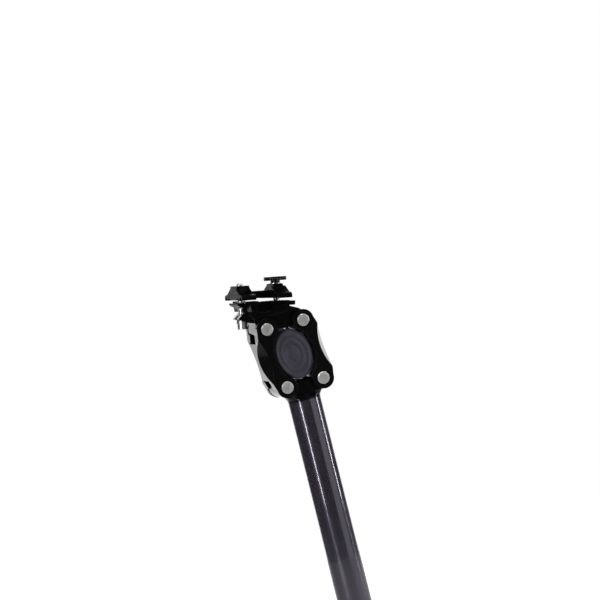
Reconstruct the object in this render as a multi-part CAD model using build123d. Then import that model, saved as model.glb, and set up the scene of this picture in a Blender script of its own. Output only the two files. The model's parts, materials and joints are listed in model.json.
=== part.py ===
from build123d import *
import os
from math import cos, radians, sin

# Suspension seatpost with a parallel linkage and an oval elastomer, in millimetres.
# Origin: centre of the tube's lower end. +Z along the tube, +X towards the saddle's nose, +Y left.

# ---- tube
TUBE_R = 13.6
TUBE_BORE_R = 11.4
TUBE_TOP = 264.7
TUBE_END_CHAMFER = 0.8  # on the bore's edge at the lower end

# ---- linkage
PIVOT_HALF_SPACING = 15.25
LOWER_PIVOT_Z = 278.5
LINK_LENGTH = 48.7
LINK_LEAN = 5.6  # degrees rearward at rest
BOSS_R = 8.6  # rounded end of a link
PLATE_OUT_Y = 16.5
SLOT_HALF_Y = 11.6
SLOT_R = 9.0
NOTCH_HALF_Y = 7.5  # notch in each end of the outer wall, beside the knuckle
NOTCH_DEPTH = 8.8  # past the pivot, towards mid length
CROWN_RISE = 3.4  # how far the outer face bulges at mid length
WAIST_R = 48.0  # hollow that narrows a link's outer face at mid length
WAIST_DEPTH = 5.3
WAIST_TILT = 25.0
POCKET_FLARE = 1.3  # how much wider the elastomer's pocket is at the outer faces
RECESS_DEPTH = 1.1  # seat of a pivot bolt's head
RECESS_GAP = 0.25

# ---- pivots
KNUCKLE_R = 8.2
KNUCKLE_HALF_Y = 10.4
AXLE_R = 4.0
AXLE_BORE_R = 2.55
BUSH_IN_R = 4.04
BUSH_OUT_R = 5.2
FLANGE_R = 6.6
FLANGE_THICK = 0.6
SEAL_R = 6.9
SEAL_THICK = 0.5
BOLT_HEAD_R = 4.85
BOLT_HEAD_THICK = 1.6
BOLT_HEAD_CHAMFER = 0.55
BOLT_SHAFT_R = 2.5
BOLT_SHAFT_LENGTH = 9.0
BOLT_SOCKET_R = 3.3
BOLT_SOCKET_DEPTH = 1.4

# ---- elastomer, an oval block between the links
OVAL_LONG = 20.4
OVAL_SHORT = 15.1
OVAL_LEAN = 9.0
OVAL_GAP = 0.3
OVAL_HALF_Y = 12.5
OVAL_EDGE_R = 1.2

# ---- heads
LOWER_HEAD_CROWN = 281.9
CROWN_CHAMFER = 2.0
SPIGOT_LENGTH = 30.0
SPIGOT_BORE_R = 7.0
COLLAR_R = 13.4  # ring of the lower head that sits on the tube's end
COLLAR_HEIGHT = 1.2
NECK_TOP = 6.3  # above the tube's end
NECK_LENGTH = 32.0
NECK_CORNER_R = 6.0
CROWN_LOW = 5.0  # above the tube's end
CROWN_FLAT = 5.0  # half length of the crown's level middle
CROWN_FALL = 2.0  # from the middle to the ends
HEAD_WIDE_Y = 13.0
LUG_HALF_Y = 9.0
HEAD_TOP = 350.0
# side views of the upper head's three slabs, as (x, z)
CORE_OUTLINE = [
    (-20.0, 324.0),
    (10.5, 324.0),
    (16.6, 332.5),
    (10.4, 336.9),
    (4.0, 340.2),
    (2.5, HEAD_TOP),
    (-30.0, HEAD_TOP),
    (-28.0, 340.0),
    (-26.2, 328.6),
]
SHOULDER_OUTLINE = [
    (-27.0, 336.8),
    (7.0, 336.8),
    (3.0, 341.0),
    (2.5, HEAD_TOP),
    (-30.0, HEAD_TOP),
    (-29.5, 341.0),
]
LUG_OUTLINE = [
    (-24.0, 329.0),
    (-24.0, HEAD_TOP),
    (-30.2, 346.0),
    (-38.5, 340.4),
    (-38.5, 332.0),
]

# ---- saddle clamp: its own frame lies on the rails, R forward along them and N up from them
CLAMP_X = -17.1
CLAMP_Z = 350.0
CLAMP_SLOPE = 10.5  # degrees nose down
TILT_N = 26.0  # height of the tilt axis above the rails
ROCKER_R = 35.15
ROCKER_GAP = 0.05
FRONT_BOLT = 15.0  # bolt axes along the rails from the clamp's centre
REAR_BOLT = -14.3
RAIL_Y = 22.0
RAIL_R = 3.5
CRADLE_TOP = -1.2
CRADLE_REAR = -20.5
CRADLE_FRONT = 23.0
EAR_Y = 26.6  # outer face of the clamp's wings and the cradle's ears
BRACE_Y = 18.0
# side views of the cradle's ears and brace, as (R, N)
REAR_EAR = [(-14.0, 0.0), (-7.0, 0.0), (-8.0, -8.4), (-13.0, -8.4)]
FRONT_EAR = [(16.0, -1.6), (23.0, -1.6), (22.6, -4.9), (14.0, -4.9)]
BRACE = [(7.4, CRADLE_TOP), (18.0, CRADLE_TOP), (18.0, -4.9), (13.5, -5.6), (7.4, -9.3)]
HUMP_LOW = 1.2
HUMP_TOP = 12.3
HUMP_HALF_Y = 10.0
REAR_HUMP = [(-19.8, HUMP_LOW), (-6.8, HUMP_LOW), (-9.4, HUMP_TOP), (-19.4, HUMP_TOP)]
FRONT_HUMP = [(8.4, HUMP_LOW), (21.0, HUMP_LOW), (18.2, HUMP_TOP), (10.6, HUMP_TOP)]
WEB = [(-15.0, 1.8), (15.0, 1.8), (15.0, 7.5), (-15.0, 7.5)]
WEB_HALF_Y = 7.0
WING_LENGTH = 11.6
# end view of one wing's half, from the middle outward over the rail and back beneath, as (Y, N)
WING_HALF = [
    (8.0, 10.4),
    (19.0, 5.6),
    (25.0, 5.0),
    (EAR_Y, 3.6),
    (EAR_Y, 1.0),
    (17.6, 1.0),
    (15.4, 3.0),
    (9.0, 1.6),
]
NUT_N = 7.4  # rear barrel nut
NUT_R = 4.45
NUT_HOLE_R = 4.5
NUT_HALF_Y = 9.6
REAR_SHAFT_R = 2.5
REAR_TIP_N = 14.1
REAR_HEAD_R = 4.0
REAR_HEAD_TOP = -17.75
REAR_HEAD_LOW = -22.0
REAR_SOCKET_R = 2.3
REAR_SOCKET_DEPTH = 2.8
LUG_SEAT_R = 44.4  # curved seat the rear washer slides on
WASHER_R = 4.4
WASHER_TOP = -13.65
WASHER_LOW = -17.75
STUD_R = 2.5
STUD_LOW = -20.6
STUD_TOP = 17.3
TRACK_IN_R = 40.5  # curved track that holds the stud's anchor
TRACK_OUT_R = 46.5
TRACK_HALF_Y = 5.0
TRACK_REAR = 6.6
SLOT_GAP = 0.4  # beside a bolt in its slot
STUD_SLOT_LENGTH = 12.4  # room for the stud to swing as the saddle tilts
STUD_SLOT_SHIFT = -0.8
REAR_SLOT_LENGTH = 25.0
REAR_SLOT_SHIFT = -6.5
ANCHOR_LENGTH = 8.6
ANCHOR_HALF_Y = 4.8
ANCHOR_GAP = 0.08
THIN_WASHER_R = 4.6
THIN_WASHER_THICK = 0.6
WHEEL_R = 9.0
WHEEL_LOW = 14.8
WHEEL_THICK = 3.0
WHEEL_NOTCHES = 32
WHEEL_NOTCH_SIZE = 1.15
WHEEL_COLLAR_R = 3.75

LEAN = radians(LINK_LEAN)
UPPER_PIVOT_SHIFT = LINK_LENGTH * sin(LEAN)
UPPER_PIVOT_Z = LOWER_PIVOT_Z + LINK_LENGTH * cos(LEAN)
LOWER_REAR = (-PIVOT_HALF_SPACING, LOWER_PIVOT_Z)
LOWER_FRONT = (PIVOT_HALF_SPACING, LOWER_PIVOT_Z)
UPPER_REAR = (-PIVOT_HALF_SPACING - UPPER_PIVOT_SHIFT, UPPER_PIVOT_Z)
UPPER_FRONT = (PIVOT_HALF_SPACING - UPPER_PIVOT_SHIFT, UPPER_PIVOT_Z)
CENTRE = (-UPPER_PIVOT_SHIFT / 2, (LOWER_PIVOT_Z + UPPER_PIVOT_Z) / 2)
CLAMP = Location((CLAMP_X, 0, CLAMP_Z), (0, CLAMP_SLOPE, 0))
PIVOTS = {
    "lower_rear": LOWER_REAR,
    "lower_front": LOWER_FRONT,
    "upper_rear": UPPER_REAR,
    "upper_front": UPPER_FRONT,
}


# ---- helpers

def across(sketch, half_y):
    """Extrude a sketch drawn in the XZ plane to both sides of it."""
    face = Plane.XZ * sketch
    return extrude(face, amount=half_y, both=True)


def slab(points, half_y):
    """A plate with a polygonal side view, from -half_y to +half_y."""
    return across(make_face(Polyline(*points, close=True)), half_y)


def rod(centre, radius, low_y, high_y):
    """A cylinder along Y through a point of the XZ plane."""
    middle = Location((centre[0], (low_y + high_y) / 2, centre[1]), (90, 0, 0))
    return middle * Cylinder(radius, high_y - low_y)


def both_sides(solid):
    """The solid and its mirror image, as two separate solids."""
    return Compound([solid, mirror(solid, about=Plane.XZ)])


def tilt_rod(radius, half_y):
    """A cylinder about the tilt axis, in the clamp's frame."""
    return rod((0, TILT_N), radius, -half_y, half_y)


# ---- tube and lower head

def seatpost_tube():
    tube = Pos(0, 0, TUBE_TOP / 2) * (Cylinder(TUBE_R, TUBE_TOP) - Cylinder(TUBE_BORE_R, TUBE_TOP))
    return chamfer(tube.edges().group_by(Axis.Z)[0].sort_by(SortBy.RADIUS)[0], TUBE_END_CHAMFER)


def lower_head():
    """Head bonded into the tube: spigot, collar, neck and a crown with two knuckles."""
    spigot = Pos(0, 0, TUBE_TOP - SPIGOT_LENGTH / 2) * Cylinder(TUBE_BORE_R, SPIGOT_LENGTH)
    collar = Pos(0, 0, TUBE_TOP + COLLAR_HEIGHT / 2) * Cylinder(COLLAR_R, COLLAR_HEIGHT)
    neck_low = Pos(0, 0, TUBE_TOP + COLLAR_HEIGHT) * Circle(COLLAR_R)
    # a little narrower than the crown, so that no two faces lie in one plane
    neck_high = RectangleRounded(NECK_LENGTH, 2 * KNUCKLE_HALF_Y - 0.5, NECK_CORNER_R)
    neck = loft([neck_low, Pos(0, 0, TUBE_TOP + NECK_TOP) * neck_high])
    low, ends = TUBE_TOP + CROWN_LOW, LOWER_HEAD_CROWN - CROWN_FALL
    crown = slab(
        [
            (-PIVOT_HALF_SPACING, low),
            (PIVOT_HALF_SPACING, low),
            (PIVOT_HALF_SPACING, ends),
            (CROWN_FLAT, LOWER_HEAD_CROWN),
            (-CROWN_FLAT, LOWER_HEAD_CROWN),
            (-PIVOT_HALF_SPACING, ends),
        ],
        KNUCKLE_HALF_Y,
    )
    crown = chamfer(crown.edges().filter_by(Axis.X).group_by(Axis.Z)[-1], CROWN_CHAMFER)
    for pivot in (LOWER_REAR, LOWER_FRONT):
        crown += rod(pivot, KNUCKLE_R, -KNUCKLE_HALF_Y, KNUCKLE_HALF_Y)
    head = spigot + collar + neck + crown
    head -= Pos(0, 0, TUBE_TOP - SPIGOT_LENGTH / 2 - 3) * Cylinder(SPIGOT_BORE_R, SPIGOT_LENGTH + 2)
    for pivot in (LOWER_REAR, LOWER_FRONT):
        head -= rod(pivot, BUSH_OUT_R, -20, 20)
    return head


# ---- links

def oval(growth):
    """The elastomer's outline, grown all round."""
    turned = Rot(0, 0, 90 + OVAL_LEAN) * Ellipse(OVAL_LONG + growth, OVAL_SHORT + growth)
    return Pos(CENTRE[0], CENTRE[1]) * turned


def side_plane(y):
    """A plane parallel to XZ, so that sketches drawn in (x, z) land at this y."""
    return Plane(origin=(0, y, 0), x_dir=(1, 0, 0), z_dir=(0, -1, 0))


def link_blank(lean):
    """The outer form of the rear link: two rounded ends and a crowned outer face."""
    half = LINK_LENGTH / 2
    blank = lean * Pos(0, 0, half) * Box(2 * BOSS_R, 2 * PLATE_OUT_Y, LINK_LENGTH)
    crown_r = (half**2 + CROWN_RISE**2) / (2 * CROWN_RISE)
    bulge = rod((-BOSS_R - CROWN_RISE + crown_r, half), crown_r, -PLATE_OUT_Y, PLATE_OUT_Y)
    bulge &= Pos(-BOSS_R - 3, 0, half) * Box(10, 3 * PLATE_OUT_Y, LINK_LENGTH)
    blank += lean * bulge
    for pivot in (LOWER_REAR, UPPER_REAR):
        blank += rod(pivot, BOSS_R, -PLATE_OUT_Y, PLATE_OUT_Y)
    return blank


def pocketed(link):
    """Cut the elastomer's pocket, flared towards both outer faces."""
    link -= across(oval(OVAL_GAP), 30)
    for side in (-1, 1):
        inner = side_plane(side * OVAL_HALF_Y) * oval(OVAL_GAP)
        outer = side_plane(side * (PLATE_OUT_Y + 0.01)) * oval(OVAL_GAP + POCKET_FLARE)
        link -= loft([inner, outer])
    return link


def waisted(link, lean):
    """Cut the two long hollows that narrow the outer face at mid length."""
    tilt = radians(WAIST_TILT)
    for side in (-1, 1):
        corner = Vector(-BOSS_R - CROWN_RISE, side * PLATE_OUT_Y, LINK_LENGTH / 2)
        outward = Vector(-cos(tilt), side * sin(tilt), 0)
        along = Vector(sin(tilt), side * cos(tilt), 0)
        centre = corner + outward * (WAIST_R - WAIST_DEPTH)
        link -= lean * (Plane(origin=centre, z_dir=along) * Cylinder(WAIST_R, 60))
    return link


def slotted(link, lean):
    """Open the inside of the link, leaving two plates joined by the outer wall, notched at both ends."""
    half = LINK_LENGTH / 2
    link -= lean * Pos(BOSS_R, 0, half) * Box(2 * BOSS_R, 2 * SLOT_HALF_Y, 3 * LINK_LENGTH)
    for pivot in (LOWER_REAR, UPPER_REAR):
        link -= rod(pivot, SLOT_R, -SLOT_HALF_Y, SLOT_HALF_Y)
    for end in (-1, 1):
        beyond = Pos(0, 0, half + end * (half + 20)) * Box(40, 2 * SLOT_HALF_Y, 40)
        notch = Pos(0, 0, half + end * (half + 20 - NOTCH_DEPTH)) * Box(40, 2 * NOTCH_HALF_Y, 40)
        link -= lean * beyond
        link -= lean * notch
    return link


def rear_link():
    lean = Location((LOWER_REAR[0], 0, LOWER_REAR[1]), (0, -LINK_LEAN, 0))
    link = slotted(waisted(pocketed(link_blank(lean)), lean), lean)
    for pivot in (LOWER_REAR, UPPER_REAR):
        link -= rod(pivot, AXLE_R, -30, 30)
        link -= rod(pivot, BOLT_HEAD_R + RECESS_GAP, PLATE_OUT_Y - RECESS_DEPTH, PLATE_OUT_Y + 5)
        link -= rod(pivot, BOLT_HEAD_R + RECESS_GAP, -PLATE_OUT_Y - 5, RECESS_DEPTH - PLATE_OUT_Y)
    return link


def front_link(rear):
    """The rear link again, turned half a turn about the middle of the linkage."""
    turn = Location((CENTRE[0], 0, CENTRE[1])) * Rot(0, 180, 0) * Location((-CENTRE[0], 0, -CENTRE[1]))
    return turn * rear


def elastomer():
    block = across(oval(0), OVAL_HALF_Y)
    return fillet(block.edges(), OVAL_EDGE_R)


# ---- pivot hardware, one set for each pivot

def axle(pivot):
    end = PLATE_OUT_Y - RECESS_DEPTH
    return rod(pivot, AXLE_R, -end, end) - rod(pivot, AXLE_BORE_R, -end, end)


def bushes(pivot):
    sleeve = rod(pivot, BUSH_OUT_R, 1.0, KNUCKLE_HALF_Y)
    flange = rod(pivot, FLANGE_R, KNUCKLE_HALF_Y, KNUCKLE_HALF_Y + FLANGE_THICK)
    return both_sides(sleeve + flange - rod(pivot, BUSH_IN_R, 0, 20))


def seals(pivot):
    ring = rod(pivot, SEAL_R, SLOT_HALF_Y - SEAL_THICK, SLOT_HALF_Y)
    return both_sides(ring - rod(pivot, AXLE_R + 0.1, 0, 20))


def bolts(pivot):
    """A bolt from each side, with a six-pointed socket in its head."""
    seat = PLATE_OUT_Y - RECESS_DEPTH
    top = seat + BOLT_HEAD_THICK
    head = rod(pivot, BOLT_HEAD_R, seat, top)
    head = chamfer(head.edges().group_by(Axis.Y)[-1], BOLT_HEAD_CHAMFER)
    shaft = rod(pivot, BOLT_SHAFT_R, seat - BOLT_SHAFT_LENGTH, seat)
    star = RegularPolygon(BOLT_SOCKET_R, 3) + Rot(0, 0, 60) * RegularPolygon(BOLT_SOCKET_R, 3)
    face = Plane(origin=(pivot[0], top, pivot[1]), z_dir=(0, 1, 0)) * star
    return both_sides(head + shaft - extrude(face, amount=-BOLT_SOCKET_DEPTH))


# ---- upper head, in the row's frame

def tilt_slots():
    """Cuts for the rear bolt, the stud and its anchor, in the clamp's frame."""
    rear_width, stud_width = 2 * REAR_SHAFT_R + 2 * SLOT_GAP, 2 * STUD_R + 2 * SLOT_GAP
    rear_slot = Pos(REAR_BOLT + REAR_SLOT_SHIFT, 0, -14) * Box(REAR_SLOT_LENGTH, rear_width, 30)
    stud_at = FRONT_BOLT + STUD_SLOT_SHIFT
    stud_slot = Pos(stud_at, 0, -10) * Box(STUD_SLOT_LENGTH, stud_width, 14)
    well = Pos(stud_at, 0, TILT_N - TRACK_OUT_R - 0.2) * Box(STUD_SLOT_LENGTH, stud_width, 8)
    track = tilt_rod(TRACK_OUT_R, TRACK_HALF_Y) - tilt_rod(TRACK_IN_R, TRACK_HALF_Y)
    track &= Pos(TRACK_REAR + 20, 0, -10) * Box(40, 20, 40)
    return rear_slot + stud_slot + track + well


def upper_head():
    """Core with two knuckles, wide shoulders under the cradle, and a lug for the rear bolt."""
    seat = CLAMP * tilt_rod(LUG_SEAT_R, 20)
    lug = slab(LUG_OUTLINE, LUG_HALF_Y) & seat
    core = slab(CORE_OUTLINE, KNUCKLE_HALF_Y) & (seat + Pos(7.0, 0, 330) * Box(70, 60, 80))
    head = core + slab(SHOULDER_OUTLINE, HEAD_WIDE_Y) + lug
    for pivot in (UPPER_REAR, UPPER_FRONT):
        head += rod(pivot, KNUCKLE_R, -KNUCKLE_HALF_Y, KNUCKLE_HALF_Y)
    head -= CLAMP * tilt_rod(ROCKER_R + ROCKER_GAP, 30)
    head -= CLAMP * tilt_slots()
    for pivot in (UPPER_REAR, UPPER_FRONT):
        head -= rod(pivot, BUSH_OUT_R, -20, 20)
    return head


# ---- saddle clamp, in the clamp's frame

def rail_grooves():
    """The two rails' round section, longer than the clamp."""
    groove = Plane(origin=(0, RAIL_Y, 0), z_dir=(1, 0, 0)) * Cylinder(RAIL_R, 80)
    return groove + mirror(groove, about=Plane.XZ)


def bolt_holes():
    rear = Pos(REAR_BOLT, 0, 0) * Cylinder(REAR_SHAFT_R + 0.15, 60)
    return rear + Pos(FRONT_BOLT, 0, 0) * Cylinder(STUD_R + 0.1, 60)


def lower_cradle():
    """Cradle with a round underside that rocks in the upper head, and ears beneath the rails."""
    low = -12.0
    block = [(CRADLE_REAR, CRADLE_TOP), (CRADLE_FRONT, CRADLE_TOP), (CRADLE_FRONT, low), (CRADLE_REAR, low)]
    ears = slab(REAR_EAR, EAR_Y) + slab(FRONT_EAR, EAR_Y) + slab(BRACE, BRACE_Y)
    ears -= Box(80, 2 * (HEAD_WIDE_Y - 0.4), 60)
    ears -= rail_grooves()
    under = Box(120, 2 * (HEAD_WIDE_Y + 0.4), 120) - tilt_rod(ROCKER_R, 40)
    under &= Pos(0, 0, -30) * Box(120, 120, 60)
    return slab(block, HEAD_WIDE_Y) + ears - under - bolt_holes()


def upper_clamp():
    """Clamp over the rails: two humps joined by a web, each with a wing to either side."""
    other_half = [(-y, n) for y, n in reversed(WING_HALF)]
    face = Plane.YZ * make_face(Polyline(*WING_HALF, *other_half, close=True))
    wings = extrude(face, amount=WING_LENGTH / 2, both=True)
    clamp = slab(REAR_HUMP, HUMP_HALF_Y) + slab(FRONT_HUMP, HUMP_HALF_Y) + slab(WEB, WEB_HALF_Y)
    for at in (REAR_BOLT, FRONT_BOLT):
        clamp += Pos(at, 0, 0) * wings
    clamp -= rail_grooves()
    clamp -= bolt_holes()
    return clamp - rod((REAR_BOLT, NUT_N), NUT_HOLE_R, -20, 20)


def rear_barrel_nut():
    nut = rod((REAR_BOLT, NUT_N), NUT_R, -NUT_HALF_Y, NUT_HALF_Y)
    return nut - Pos(REAR_BOLT, 0, 0) * Cylinder(REAR_SHAFT_R + 0.06, 60)


def rear_clamp_bolt():
    """Bolt that comes up from beneath the lug, with a hexagonal socket."""
    shaft_length, head_length = REAR_TIP_N - REAR_HEAD_TOP, REAR_HEAD_TOP - REAR_HEAD_LOW
    shaft = Pos(REAR_BOLT, 0, REAR_HEAD_TOP + shaft_length / 2) * Cylinder(REAR_SHAFT_R, shaft_length)
    head = Pos(REAR_BOLT, 0, REAR_HEAD_LOW + head_length / 2) * Cylinder(REAR_HEAD_R, head_length)
    bolt = chamfer(shaft.edges().group_by(Axis.Z)[-1], 0.6) + head
    hexagon = RegularPolygon(REAR_SOCKET_R, 6)
    return bolt - Pos(REAR_BOLT, 0, REAR_HEAD_LOW) * extrude(hexagon, amount=REAR_SOCKET_DEPTH)


def rear_bolt_washer():
    """Washer with a hollow top that fits the lug's curved seat."""
    thick = WASHER_TOP - WASHER_LOW
    disc = Cylinder(WASHER_R, thick) - Cylinder(REAR_SHAFT_R + 0.1, thick)
    return Pos(REAR_BOLT, 0, WASHER_LOW + thick / 2) * disc - tilt_rod(LUG_SEAT_R + ROCKER_GAP, 20)


def stud():
    return Pos(FRONT_BOLT, 0, (STUD_LOW + STUD_TOP) / 2) * Cylinder(STUD_R, STUD_TOP - STUD_LOW)


def stud_anchor():
    """Curved shoe on the stud's lower end, which slides in the upper head's track."""
    shoe = tilt_rod(TRACK_OUT_R - ANCHOR_GAP, ANCHOR_HALF_Y)
    shoe -= tilt_rod(TRACK_IN_R + ANCHOR_GAP, ANCHOR_HALF_Y)
    shoe &= Pos(FRONT_BOLT, 0, -15) * Box(ANCHOR_LENGTH, 20, 40)
    return shoe - Pos(FRONT_BOLT, 0, -15) * Cylinder(STUD_R + 0.02, 60)


def wheel_washer():
    disc = Cylinder(THIN_WASHER_R, THIN_WASHER_THICK) - Cylinder(STUD_R + 0.1, THIN_WASHER_THICK)
    return Pos(FRONT_BOLT, 0, HUMP_TOP + THIN_WASHER_THICK / 2) * disc


def tilt_wheel():
    """Notched thumbwheel on a short collar."""
    collar_low = HUMP_TOP + THIN_WASHER_THICK + 0.05
    notch = Pos(WHEEL_R + 0.25, 0) * Rot(0, 0, 45) * Rectangle(WHEEL_NOTCH_SIZE, WHEEL_NOTCH_SIZE)
    disc = Circle(WHEEL_R) - PolarLocations(0, WHEEL_NOTCHES) * notch
    wheel = Pos(FRONT_BOLT, 0, WHEEL_LOW) * extrude(disc, amount=WHEEL_THICK)
    collar = Cylinder(WHEEL_COLLAR_R, WHEEL_LOW - collar_low)
    wheel += Pos(FRONT_BOLT, 0, (collar_low + WHEEL_LOW) / 2) * collar
    return wheel - Pos(FRONT_BOLT, 0, 10) * Cylinder(STUD_R + 0.05, 60)


# ---- write one file for each node

def nodes():
    rear = rear_link()
    made = {
        "seatpost_tube": seatpost_tube(),
        "lower_head": lower_head(),
        "rear_link": rear,
        "front_link": front_link(rear),
        "elastomer": elastomer(),
        "upper_head": upper_head(),
    }
    for place, pivot in PIVOTS.items():
        made[place + "_axle"] = axle(pivot)
        made[place + "_bolts"] = bolts(pivot)
        made[place + "_bushes"] = bushes(pivot)
        made[place + "_seals"] = seals(pivot)
    clamp_pieces = {
        "lower_cradle": lower_cradle(),
        "upper_clamp": upper_clamp(),
        "rear_barrel_nut": rear_barrel_nut(),
        "rear_clamp_bolt": rear_clamp_bolt(),
        "rear_bolt_washer": rear_bolt_washer(),
        "tilt_stud": stud(),
        "stud_anchor": stud_anchor(),
        "wheel_washer": wheel_washer(),
        "tilt_wheel": tilt_wheel(),
    }
    for name, piece in clamp_pieces.items():
        made[name] = CLAMP * piece
    return made


os.makedirs("parts", exist_ok=True)
for name, piece in nodes().items():
    export_step(piece, f"parts/{name}.step")
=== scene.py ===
import json
from math import cos, pi, radians, sin

import bmesh
import bpy
from mathutils import Matrix, Vector

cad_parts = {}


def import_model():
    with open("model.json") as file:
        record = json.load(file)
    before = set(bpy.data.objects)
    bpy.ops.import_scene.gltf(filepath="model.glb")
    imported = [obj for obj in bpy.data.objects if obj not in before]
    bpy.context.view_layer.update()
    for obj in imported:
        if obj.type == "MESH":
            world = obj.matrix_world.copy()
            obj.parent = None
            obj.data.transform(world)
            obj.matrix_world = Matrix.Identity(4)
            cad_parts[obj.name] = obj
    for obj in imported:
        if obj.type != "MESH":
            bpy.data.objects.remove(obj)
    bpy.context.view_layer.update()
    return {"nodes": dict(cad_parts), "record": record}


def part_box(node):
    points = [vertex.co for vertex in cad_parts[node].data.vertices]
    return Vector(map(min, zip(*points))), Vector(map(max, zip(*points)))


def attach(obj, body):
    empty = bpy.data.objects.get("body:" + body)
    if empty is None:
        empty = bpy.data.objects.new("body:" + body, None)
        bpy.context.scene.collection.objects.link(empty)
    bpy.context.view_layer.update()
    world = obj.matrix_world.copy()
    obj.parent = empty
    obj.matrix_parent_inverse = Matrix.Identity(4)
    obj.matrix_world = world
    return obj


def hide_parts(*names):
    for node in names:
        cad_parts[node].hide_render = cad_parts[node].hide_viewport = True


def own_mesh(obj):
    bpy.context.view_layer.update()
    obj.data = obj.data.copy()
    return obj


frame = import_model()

# Suspension seatpost, in metres, in the frame of the CAD model: +Z along the tube, +X to the saddle's nose.

record = frame["record"]


# ---- small helpers

def material(name):
    """A new node material with its Principled shader."""
    made = bpy.data.materials.new(name)
    made.use_nodes = True
    return made, made.node_tree, made.node_tree.nodes["Principled BSDF"]


def node(tree, kind, values=(), **settings):
    made = tree.nodes.new(kind)
    for key, value in settings.items():
        setattr(made, key, value)
    for key, value in dict(values).items():
        made.inputs[key].default_value = value
    return made


def join(tree, source, out, target, into):
    tree.links.new(source.outputs[out], target.inputs[into])


def position(tree, scale=(1, 1, 1)):
    """Object coordinates, in metres, stretched by scale."""
    place = node(tree, "ShaderNodeTexCoord")
    mapping = node(tree, "ShaderNodeMapping", {"Scale": scale})
    join(tree, place, "Object", mapping, "Vector")
    return mapping


def noise(tree, scale, detail=4.0, rough=0.55, stretch=(1, 1, 1)):
    """A noise texture whose grain is about 1 / scale metres."""
    made = node(tree, "ShaderNodeTexNoise", {"Scale": scale, "Detail": detail, "Roughness": rough})
    join(tree, position(tree, stretch), "Vector", made, "Vector")
    return made


def ramp(tree, source, out, low, high, at=(0.35, 0.65)):
    """A blend between two colours as the source goes from the first place in at to the second."""
    made = node(tree, "ShaderNodeValToRGB")
    for element, value, place in zip(made.color_ramp.elements, (low, high), at):
        element.position = place
        element.color = (*value, 1.0)
    join(tree, source, out, made, "Fac")
    return made


def grey(value):
    return (value, value, value)


def edge_mask(tree, radius, low=0.02, high=0.25):
    """1 along sharp edges and 0 on flats, by how far the bevelled normal turns from the true one."""
    bevel = node(tree, "ShaderNodeBevel", {"Radius": radius}, samples=6)
    geometry = node(tree, "ShaderNodeNewGeometry")
    dot = node(tree, "ShaderNodeVectorMath", operation="DOT_PRODUCT")
    join(tree, bevel, "Normal", dot, 0)
    join(tree, geometry, "Normal", dot, 1)
    turned = node(tree, "ShaderNodeMath", {0: 1.0}, operation="SUBTRACT")
    join(tree, dot, "Value", turned, 1)
    made = node(tree, "ShaderNodeMapRange", {"From Min": low, "From Max": high})
    join(tree, turned, 0, made, "Value")
    return made


def bumped(tree, shader, height, out, strength, distance, edge_radius):
    """Bump from a height texture, laid over normals that are rounded at the edges."""
    bevel = node(tree, "ShaderNodeBevel", {"Radius": edge_radius}, samples=6)
    bump = node(tree, "ShaderNodeBump", {"Strength": strength, "Distance": distance})
    join(tree, height, out, bump, "Height")
    join(tree, bevel, "Normal", bump, "Normal")
    join(tree, bump, "Normal", shader, "Normal")


# ---- materials

# The colour sockets of a Mix node, which share their names with the other kinds' sockets.
MIX_A, MIX_B, MIX_RESULT = 6, 7, 2


def anodised(name, colour, worn, rough, edge_radius, metal, specular, coat=0.0, grain=(1, 1, 1)):
    """A dyed or painted metal: a fine matt grain, faint handling marks and paler edges."""
    made, tree, shader = material(name)
    cloud = noise(tree, 60.0, 5.0, 0.6, grain)
    tint = ramp(tree, cloud, "Fac", [c * 0.82 for c in colour], [c * 1.18 for c in colour])
    wear = edge_mask(tree, edge_radius * 1.6, 0.08, 0.6)
    scuff = noise(tree, 900.0, 3.0, 0.7)
    scuffed = node(tree, "ShaderNodeMath", operation="MULTIPLY")
    join(tree, wear, "Result", scuffed, 0)
    join(tree, scuff, "Fac", scuffed, 1)
    mix = node(tree, "ShaderNodeMix", {MIX_B: (*worn, 1.0)}, data_type="RGBA")
    join(tree, scuffed, 0, mix, 0)
    join(tree, tint, "Color", mix, MIX_A)
    join(tree, mix, MIX_RESULT, shader, "Base Color")
    smear = noise(tree, 240.0, 6.0, 0.65, grain)
    gloss = ramp(tree, smear, "Fac", grey(rough * 0.8), grey(rough * 1.25), (0.3, 0.7))
    join(tree, gloss, "Color", shader, "Roughness")
    shader.inputs["Metallic"].default_value = metal
    shader.inputs["Specular IOR Level"].default_value = specular
    shader.inputs["Coat Weight"].default_value = coat
    shader.inputs["Coat Roughness"].default_value = 0.05
    bumped(tree, shader, noise(tree, 5200.0, 2.0), "Fac", 0.12, 0.00006, edge_radius)
    return made


def tube_anodise():
    return anodised(
        "tube_anodise",
        colour=(0.070, 0.062, 0.088),
        worn=(0.18, 0.175, 0.195),
        rough=0.24,
        edge_radius=0.0003,
        metal=0.75,
        specular=0.3,
        coat=1.0,
        grain=(1, 1, 0.12),
    )


def gloss_black():
    return anodised(
        "gloss_black",
        colour=(0.0030, 0.0029, 0.0033),
        worn=(0.07, 0.07, 0.073),
        rough=0.15,
        edge_radius=0.0005,
        metal=0.0,
        specular=0.19,
        coat=0.04,
    )


def satin_black():
    return anodised(
        "satin_black",
        colour=(0.0032, 0.0032, 0.0035),
        worn=(0.06, 0.06, 0.063),
        rough=0.34,
        edge_radius=0.0004,
        metal=0.0,
        specular=0.015,
    )


def black_oxide():
    return anodised(
        "black_oxide",
        colour=(0.022, 0.022, 0.023),
        worn=(0.42, 0.42, 0.41),
        rough=0.3,
        edge_radius=0.0003,
        metal=0.85,
        specular=0.3,
    )


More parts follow.
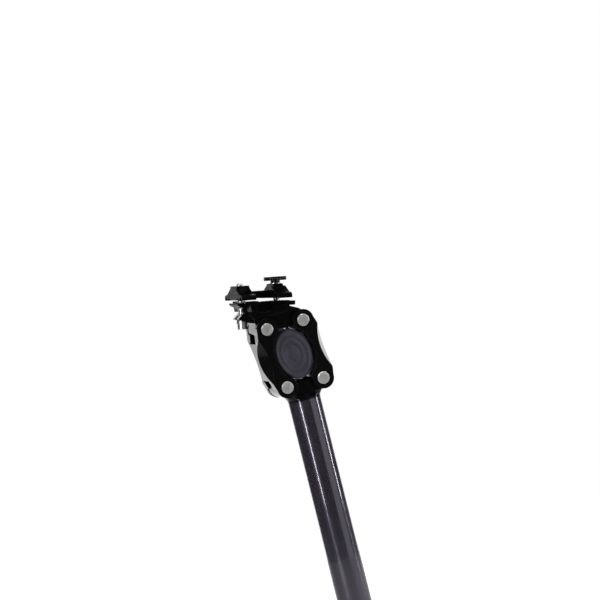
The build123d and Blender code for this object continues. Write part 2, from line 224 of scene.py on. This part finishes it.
def bright_steel():
    """Satin stainless steel with a fine uneven gloss, small stains and rounded edges."""
    made, tree, shader = material("bright_steel")
    cloud = noise(tree, 700.0, 5.0, 0.65)
    tint = ramp(tree, cloud, "Fac", (0.66, 0.65, 0.63), (0.86, 0.85, 0.83))
    join(tree, tint, "Color", shader, "Base Color")
    fine = noise(tree, 1500.0, 4.0, 0.7)
    gloss = ramp(tree, fine, "Fac", grey(0.30), grey(0.46))
    join(tree, gloss, "Color", shader, "Roughness")
    shader.inputs["Metallic"].default_value = 1.0
    bumped(tree, shader, noise(tree, 2600.0, 3.0), "Fac", 0.2, 0.00005, 0.00025)
    return made


def moulded(name, colour, rough, grain):
    """Moulded rubber or polymer: a fine pebble grain over a faintly uneven colour."""
    made, tree, shader = material(name)
    cloud = noise(tree, 160.0, 5.0, 0.6)
    tint = ramp(tree, cloud, "Fac", [c * 0.85 for c in colour], [c * 1.15 for c in colour])
    join(tree, tint, "Color", shader, "Base Color")
    patch = noise(tree, 500.0, 4.0, 0.6)
    gloss = ramp(tree, patch, "Fac", grey(rough * 0.88), grey(rough * 1.14))
    join(tree, gloss, "Color", shader, "Roughness")
    shader.inputs["Specular IOR Level"].default_value = 0.4
    bumped(tree, shader, noise(tree, grain, 3.0), "Fac", 0.35, 0.00008, 0.0004)
    return made


FINISHES = {
    "anodised_tube": tube_anodise(),
    "black_head": gloss_black(),
    "black_link": gloss_black(),
    "black_clamp": satin_black(),
    "bright_steel": bright_steel(),
    "black_steel": black_oxide(),
    "elastomer": moulded("elastomer_rubber", (0.053, 0.050, 0.070), 0.50, 2400.0),
    "bush_polymer": moulded("bush_polymer", (0.035, 0.035, 0.040), 0.40, 1800.0),
    "bush_seal": moulded("bush_seal", (0.018, 0.018, 0.018), 0.60, 2600.0),
}


# ---- pieces

SLOT_OF = {part["node"]: part["material_slot"] for part in record["subparts"]}
BODY_OF = {n: body for body, names in record["behaviour"]["bodies"].items() for n in names}
SHARP = radians(24)  # a turn between faces that counts as an edge
FLAT = radians(0.6)  # a turn between faces too small to need an edge
CLOSE_VERTS = 2e-6
LINK_EDGE = 0.00045
HEAD_EDGE = 0.00035


def smooth(mesh):
    """Smooth shading that stops at sharp edges."""
    mesh.polygons.foreach_set("use_smooth", [True] * len(mesh.polygons))
    mesh.set_sharp_from_angle(angle=SHARP)


def finish_node(name):
    """Give a CAD node the finish of its slot."""
    mesh = frame["nodes"][name].data
    mesh.materials.clear()
    mesh.materials.append(FINISHES[SLOT_OF[name]])


def add_piece(name, mesh, nodes):
    """A new piece on the nodes' body, with their finish, in their place."""
    obj = bpy.data.objects.new(name, mesh)
    bpy.context.scene.collection.objects.link(obj)
    mesh.materials.clear()
    mesh.materials.append(FINISHES[SLOT_OF[nodes[0]]])
    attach(obj, BODY_OF[nodes[0]])
    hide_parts(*nodes)
    return obj


def softened(name, width):
    """The node's shape with its sharp edges broken by a small rounded bevel."""
    build = bmesh.new()
    build.from_mesh(frame["nodes"][name].data)
    bmesh.ops.remove_doubles(build, verts=build.verts, dist=CLOSE_VERTS)
    bmesh.ops.dissolve_limit(build, angle_limit=FLAT, verts=build.verts, edges=build.edges)
    build.normal_update()
    mesh = bpy.data.meshes.new(name + "_soft")
    build.to_mesh(mesh)
    build.free()
    obj = add_piece(name + "_soft", mesh, [name])
    bevel = obj.modifiers.new("edges", "BEVEL")
    bevel.width = width
    bevel.segments = 2
    bevel.limit_method = "ANGLE"
    bevel.angle_limit = SHARP
    bevel.use_clamp_overlap = True
    bevel.harden_normals = False
    bevel.miter_outer = "MITER_ARC"
    smooth(mesh)
    return obj


SOFT_EDGES = {
    "rear_link": LINK_EDGE,
    "front_link": LINK_EDGE,
    "upper_head": HEAD_EDGE,
    "lower_head": HEAD_EDGE,
    "upper_clamp": HEAD_EDGE,
    "lower_cradle": HEAD_EDGE,
}

for node_name in sorted(frame["nodes"]):
    if node_name in SOFT_EDGES:
        softened(node_name, SOFT_EDGES[node_name])
    elif node_name != "elastomer":
        finish_node(node_name)


# ---- elastomer: an oval block with a rim, a dished face and raised oval rings

# The face, from its middle to its rim: share of the oval's radii, and depth below the outermost face.
FACE = [
    (0.0, 0.0012),
    (0.20, 0.0011),
    (0.28, 0.0010),
    (0.31, 0.0006),
    (0.38, 0.0006),
    (0.41, 0.0011),
    (0.55, 0.0010),
    (0.59, 0.0005),
    (0.66, 0.0005),
    (0.70, 0.0010),
    (0.82, 0.0006),
    (0.86, 0.0001),
    (0.93, 0.0),
    (0.975, 0.0004),
    (1.0, 0.0013),
]
# The side, drawn in a little at the middle: share of the radii, and share of the half thickness.
SIDE = [(0.997, 0.30), (0.99, 0.0), (0.997, -0.30)]
OVAL_STEPS = 96


def oval_of(name):
    """An oval node's centre and half thickness, and its long and short half axes in the XZ plane."""
    low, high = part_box(name)
    centre = Vector(((low[0] + high[0]) / 2, 0, (low[2] + high[2]) / 2))
    half_y = (high[1] - low[1]) / 2
    verts = frame["nodes"][name].data.vertices
    points = [Vector((v.co.x - centre.x, v.co.z - centre.z)) for v in verts]
    long_axis = max(points, key=lambda p: p.length)
    if long_axis.y < 0:
        long_axis = -long_axis
    along = long_axis.normalized()
    side = Vector((along.y, -along.x))
    short_axis = side * max(abs(p.dot(side)) for p in points)
    return centre, half_y, long_axis, short_axis


def oval_ring(build, centre, y, long_axis, short_axis):
    """Vertices round an oval at height y, or a single one where the oval has shrunk to a point."""
    if long_axis.length == 0:
        return [build.verts.new((centre.x, y, centre.z))]
    ring = []
    for k in range(OVAL_STEPS):
        turn = 2 * pi * k / OVAL_STEPS
        flat = long_axis * cos(turn) + short_axis * sin(turn)
        ring.append(build.verts.new((centre.x + flat.x, y, centre.z + flat.y)))
    return ring


def bridge(build, low, high):
    """Faces between two rings, either of which may be a single vertex."""
    for k in range(OVAL_STEPS):
        after = k + 1
        lower = [low[k % len(low)], low[after % len(low)]]
        upper = [high[after % len(high)], high[k % len(high)]]
        build.faces.new(list(dict.fromkeys(lower + upper)))


def elastomer_piece():
    centre, half_y, long_axis, short_axis = oval_of("elastomer")
    profile = [(share, half_y - depth) for share, depth in FACE]
    profile += [(share, half_y * at) for share, at in SIDE]
    profile += [(share, depth - half_y) for share, depth in reversed(FACE)]
    build = bmesh.new()
    rings = [oval_ring(build, centre, y, long_axis * share, short_axis * share) for share, y in profile]
    for low, high in zip(rings, rings[1:]):
        bridge(build, low, high)
    bmesh.ops.recalc_face_normals(build, faces=build.faces)
    mesh = bpy.data.meshes.new("elastomer_block")
    build.to_mesh(mesh)
    build.free()
    mesh.polygons.foreach_set("use_smooth", [True] * len(mesh.polygons))
    obj = add_piece("elastomer_block", mesh, ["elastomer"])
    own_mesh(obj)


elastomer_piece()


# ---- studio

TARGET = Vector((0.0163, 0.0, 0.3416))
TO_CAMERA = Vector((-0.2668, -0.9613, 0.0690)).normalized()
CAMERA_UP = Vector((0.2504, 0.0, 0.9681))
DISTANCE = 2.5
SEEN_WIDTH = 0.4764
SENSOR = 36.0
AMBIENT = 0.07
FRONT_TURN = radians(56)  # from the camera's side towards its right
FRONT_DISTANCE = 1.2
# Soft lights: place from the target along back, right and up, then width, height and power.
SOFTBOXES = {
    "backdrop": ((-1.15, 0.0, 0.0), 2.1, 1.3, 14.0),
    "key": ((0.75, -0.85, 0.75), 0.35, 0.9, 4.0),
    "front": ((FRONT_DISTANCE * cos(FRONT_TURN), FRONT_DISTANCE * sin(FRONT_TURN), 0.0), 0.8, 0.8, 1.5),
    "top": ((0.3, 0.0, 1.2), 0.5, 0.5, 4.0),
}
STRIPS = {"left_strip": (radians(-35), 0.045), "right_strip": (radians(92), 0.05)}  # turn and width
STRIP_POWER = 5.0
STRIP_DISTANCE = 1.0
STRIP_LOW = 0.05
STRIP_HEIGHT = 1.2
FLOOR_GLOW = 0.8
FLOOR_RADIUS = 0.9
FLOOR_Z = -0.002


def camera():
    """Place the camera, and give the directions to its right, its top and its back."""
    data = bpy.data.cameras.new("camera")
    data.sensor_width = SENSOR
    data.lens = SENSOR * DISTANCE / SEEN_WIDTH
    obj = bpy.data.objects.new("camera", data)
    bpy.context.scene.collection.objects.link(obj)
    back = TO_CAMERA
    right = CAMERA_UP.cross(back).normalized()
    up = back.cross(right)
    turn = Matrix((right, up, back)).transposed().to_4x4()
    obj.matrix_world = Matrix.Translation(TARGET + back * DISTANCE) @ turn
    bpy.context.scene.camera = obj
    return right, up, back


def softbox(name, place, width, height, power):
    """An area light at a place, facing the target."""
    data = bpy.data.lights.new(name, "AREA")
    data.shape = "RECTANGLE"
    data.size = width
    data.size_y = height
    data.energy = power
    obj = bpy.data.objects.new(name, data)
    bpy.context.scene.collection.objects.link(obj)
    aim = (TARGET - place).normalized()
    obj.rotation_euler = aim.to_track_quat("-Z", "Y").to_euler()
    obj.location = place
    obj.visible_camera = False
    return obj


def strip(name, turn, width):
    """A tall narrow light that stands beside the tube, turned about it from the camera's side."""
    level = Vector((TO_CAMERA.x, TO_CAMERA.y, 0)).normalized()
    across = Vector((-level.y, level.x, 0))
    place = (level * cos(turn) + across * sin(turn)) * STRIP_DISTANCE
    place.z = STRIP_LOW + STRIP_HEIGHT / 2
    obj = softbox(name, place, width, STRIP_HEIGHT, STRIP_POWER)
    obj.rotation_euler = Vector((-place.x, -place.y, 0)).to_track_quat("-Z", "Y").to_euler()


def world():
    """White as the camera sees it, and a dim ambient light for everything else."""
    made = bpy.data.worlds.new("studio")
    made.use_nodes = True
    tree = made.node_tree
    seen = tree.nodes["Background"]
    seen.inputs["Strength"].default_value = 1.0
    seen.inputs["Color"].default_value = (1, 1, 1, 1)
    ambient = node(tree, "ShaderNodeBackground", {"Color": (1, 1, 1, 1), "Strength": AMBIENT})
    path = node(tree, "ShaderNodeLightPath")
    choose = node(tree, "ShaderNodeMixShader")
    join(tree, path, "Is Camera Ray", choose, 0)
    tree.links.new(ambient.outputs[0], choose.inputs[1])
    tree.links.new(seen.outputs[0], choose.inputs[2])
    tree.links.new(choose.outputs[0], tree.nodes["World Output"].inputs["Surface"])
    bpy.context.scene.world = made


def floor():
    """A pale round of paper under the tube's end."""
    mesh = bpy.data.meshes.new("floor")
    build = bmesh.new()
    bmesh.ops.create_circle(build, cap_ends=True, segments=128, radius=FLOOR_RADIUS)
    bmesh.ops.translate(build, verts=build.verts, vec=(0, 0, FLOOR_Z))
    build.to_mesh(mesh)
    build.free()
    obj = bpy.data.objects.new("floor", mesh)
    bpy.context.scene.collection.objects.link(obj)
    made, tree, shader = material("floor_paper")
    mottle = ramp(tree, noise(tree, 3.0), "Fac", grey(0.86), grey(0.9))
    join(tree, mottle, "Color", shader, "Base Color")
    shader.inputs["Roughness"].default_value = 0.9
    shader.inputs["Emission Color"].default_value = (1, 1, 1, 1)
    path = node(tree, "ShaderNodeLightPath")
    glow = node(tree, "ShaderNodeMath", {1: FLOOR_GLOW}, operation="MULTIPLY")
    join(tree, path, "Is Camera Ray", glow, 0)
    join(tree, glow, "Value", shader, "Emission Strength")
    mesh.materials.append(made)


right, up, back = camera()
world()
floor()
for light, ((away, aside, above), width, height, power) in SOFTBOXES.items():
    softbox(light, TARGET + back * away + right * aside + up * above, width, height, power)
for light, (turn, width) in STRIPS.items():
    strip(light, turn, width)

bpy.context.scene.view_settings.view_transform = "Standard"
bpy.context.scene.view_settings.look = "None"
